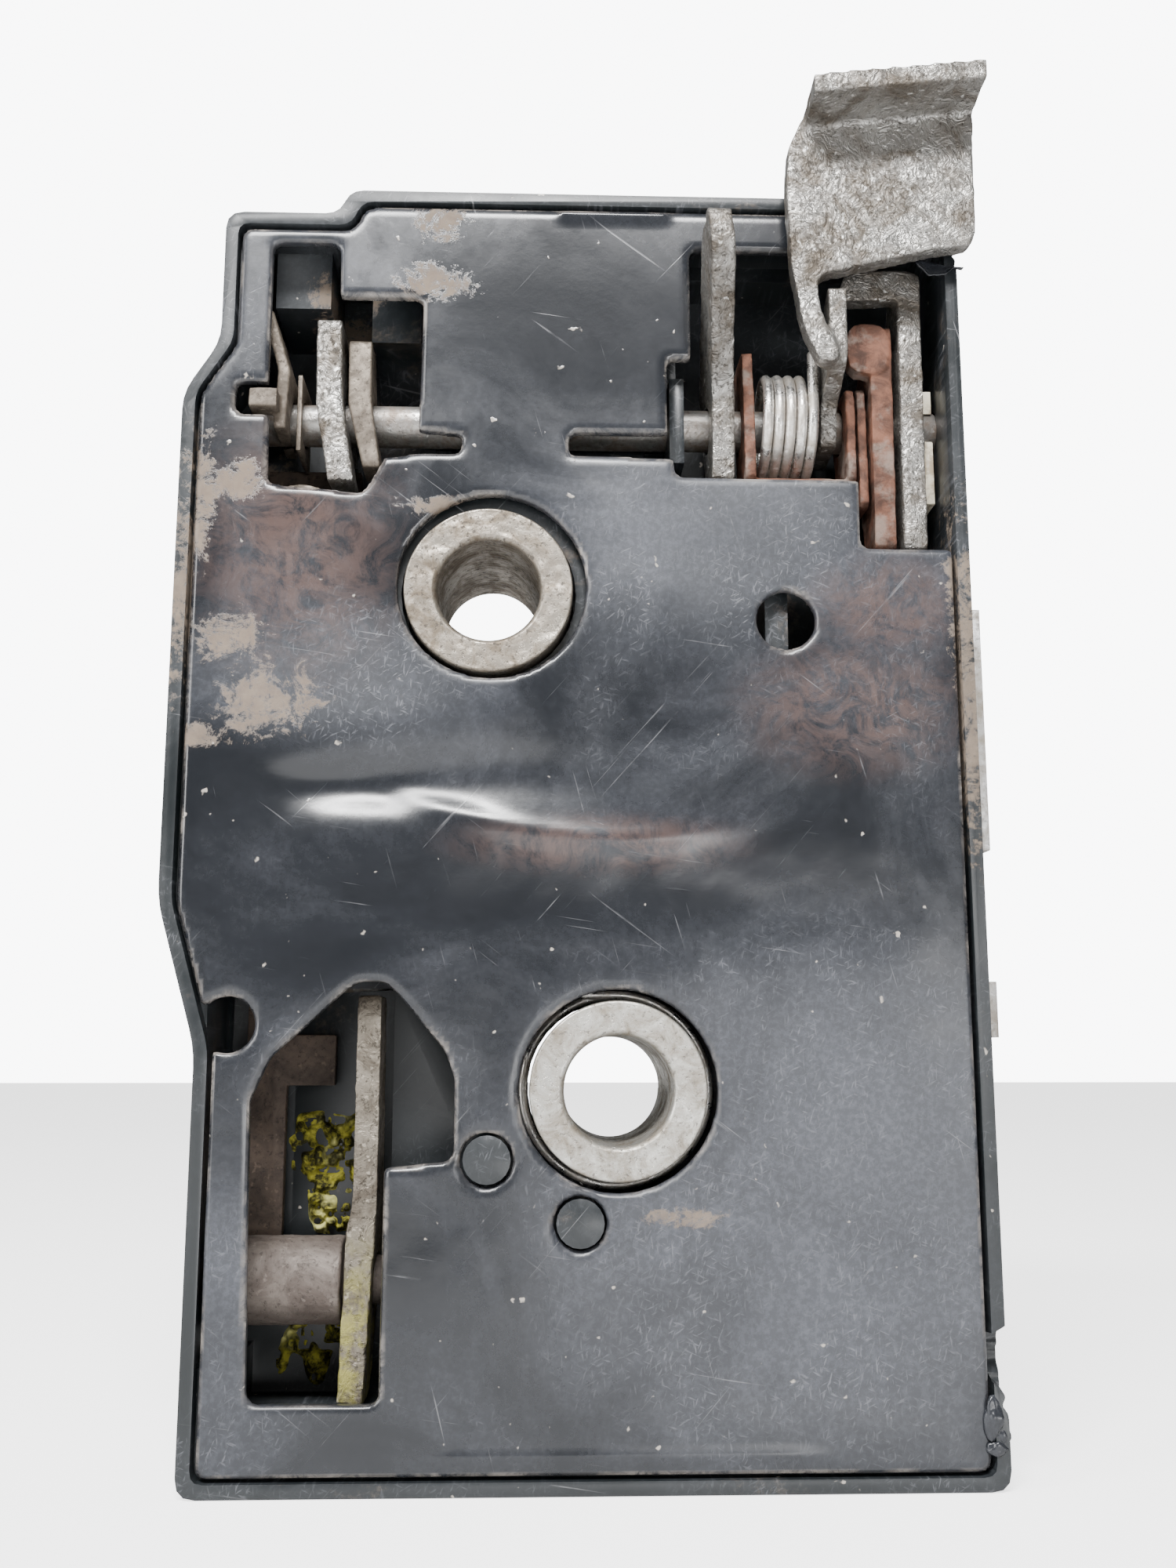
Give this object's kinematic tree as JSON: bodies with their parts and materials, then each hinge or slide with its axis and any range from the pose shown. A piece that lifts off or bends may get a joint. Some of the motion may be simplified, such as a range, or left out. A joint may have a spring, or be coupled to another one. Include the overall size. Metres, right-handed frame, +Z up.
{
  "type": "door latch",
  "caption": "Rotary door latch for a vehicle door: steel plate with striker mouth, black plastic case and cover, two bolt sleeves, release and locking levers.",
  "frame": {"origin": "on the outer face of the latch plate, near the middle of the case", "axes": "+Y is the outward normal of the latch plate's mounting face, +Z runs up along the case's long side, +X points to the edge with the striker mouth"},
  "size_m": [0.073, 0.0244, 0.1198],
  "materials": {
    "black_plastic": "satin",
    "housing_plastic": "satin",
    "plated_steel": "satin",
    "sleeve_steel": "satin",
    "hardened_steel": "satin",
    "cast_zinc": "matte",
    "rusted_steel": "matte",
    "spring_steel": "gloss",
    "brown_steel": "matte",
    "nylon": "matte",
    "buffer_rubber": "matte"
  },
  "bodies": {
    "case": {"rear_cover": "black_plastic", "housing": "housing_plastic", "latch_plate": "plated_steel", "upper_sleeve": "sleeve_steel", "lower_sleeve": "sleeve_steel", "striker_buffer": "buffer_rubber", "rivet_1": "plated_steel", "rivet_2": "plated_steel", "rivet_3": "plated_steel", "rivet_4": "plated_steel", "nylon_guide": "nylon", "lock_bracket": "brown_steel", "detent_leaf": "spring_steel", "pivot_disc": "brown_steel", "fork_spring": "spring_steel", "pawl_spring": "spring_steel", "return_spring": "spring_steel"},
    "fork": {"fork_bolt": "hardened_steel"},
    "pawl_body": {"pawl": "hardened_steel"},
    "inside": {"inside_lever": "cast_zinc"},
    "outside": {"outside_lever": "cast_zinc", "release_saddle": "rusted_steel", "release_arm": "rusted_steel"},
    "coupler": {"coupler_lever": "rusted_steel"},
    "lock_shaft": {"lever_rod": "hardened_steel", "lock_lever": "cast_zinc", "sill_lever": "cast_zinc", "sill_plate": "brown_steel"},
    "key": {"key_shaft": "brown_steel", "key_lever": "cast_zinc"},
    "link": {"lock_link": "cast_zinc"}
  },
  "joints": [
    {"name": "fork_turn", "type": "hinge", "parent": "case", "child": "fork", "pos_m": [0.0035, -0.0045, -0.0244], "axis": [0, 1, 0], "range_deg": [-62, 0], "stiffness_Nm_per_rad": 0.002, "springref_deg": 17.19, "deforming": ["fork_spring"]},
    {"name": "pawl_turn", "type": "hinge", "parent": "case", "child": "pawl_body", "pos_m": [-0.0076, -0.0045, 0.018], "axis": [0, 1, 0], "range_deg": [-4, 7], "stiffness_Nm_per_rad": 0.003, "springref_deg": -11.46, "deforming": ["pawl_spring"]},
    {"name": "inside_release", "type": "hinge", "parent": "case", "child": "inside", "pos_m": [0, -0.0096, 0.0355], "axis": [1, 0, 0], "range_deg": [0, 22], "stiffness_Nm_per_rad": 0.003, "springref_deg": -17.19},
    {"name": "outside_release", "type": "hinge", "parent": "case", "child": "outside", "pos_m": [0, -0.0096, 0.0355], "axis": [1, 0, 0], "range_deg": [0, 22], "stiffness_Nm_per_rad": 0.003, "springref_deg": -17.19, "deforming": ["return_spring"]},
    {"name": "coupler_turn", "type": "hinge", "parent": "case", "child": "coupler", "pos_m": [0, -0.0096, 0.0355], "axis": [1, 0, 0], "range_deg": [0, 22]},
    {"name": "key_turn", "type": "hinge", "parent": "case", "child": "key", "pos_m": [-0.022, -0.0096, -0.04], "axis": [1, 0, 0], "range_deg": [-12, 0]},
    {"name": "link_slide", "type": "slide", "parent": "case", "child": "link", "axis": [0, 0, 1], "range_m": [-0.00096, 0]},
    {"name": "lock_turn", "type": "hinge", "parent": "case", "child": "lock_shaft", "pos_m": [0, -0.0096, 0.0355], "axis": [1, 0, 0], "range_deg": [-12, 0]}
  ],
  "couplings": [
    {"joint": "coupler_turn", "follows": "outside_release", "ratio": 1},
    {"joint": "key_turn", "follows": "link_slide", "rad_per_m": 217},
    {"joint": "lock_turn", "follows": "link_slide", "rad_per_m": 217}
  ]
}
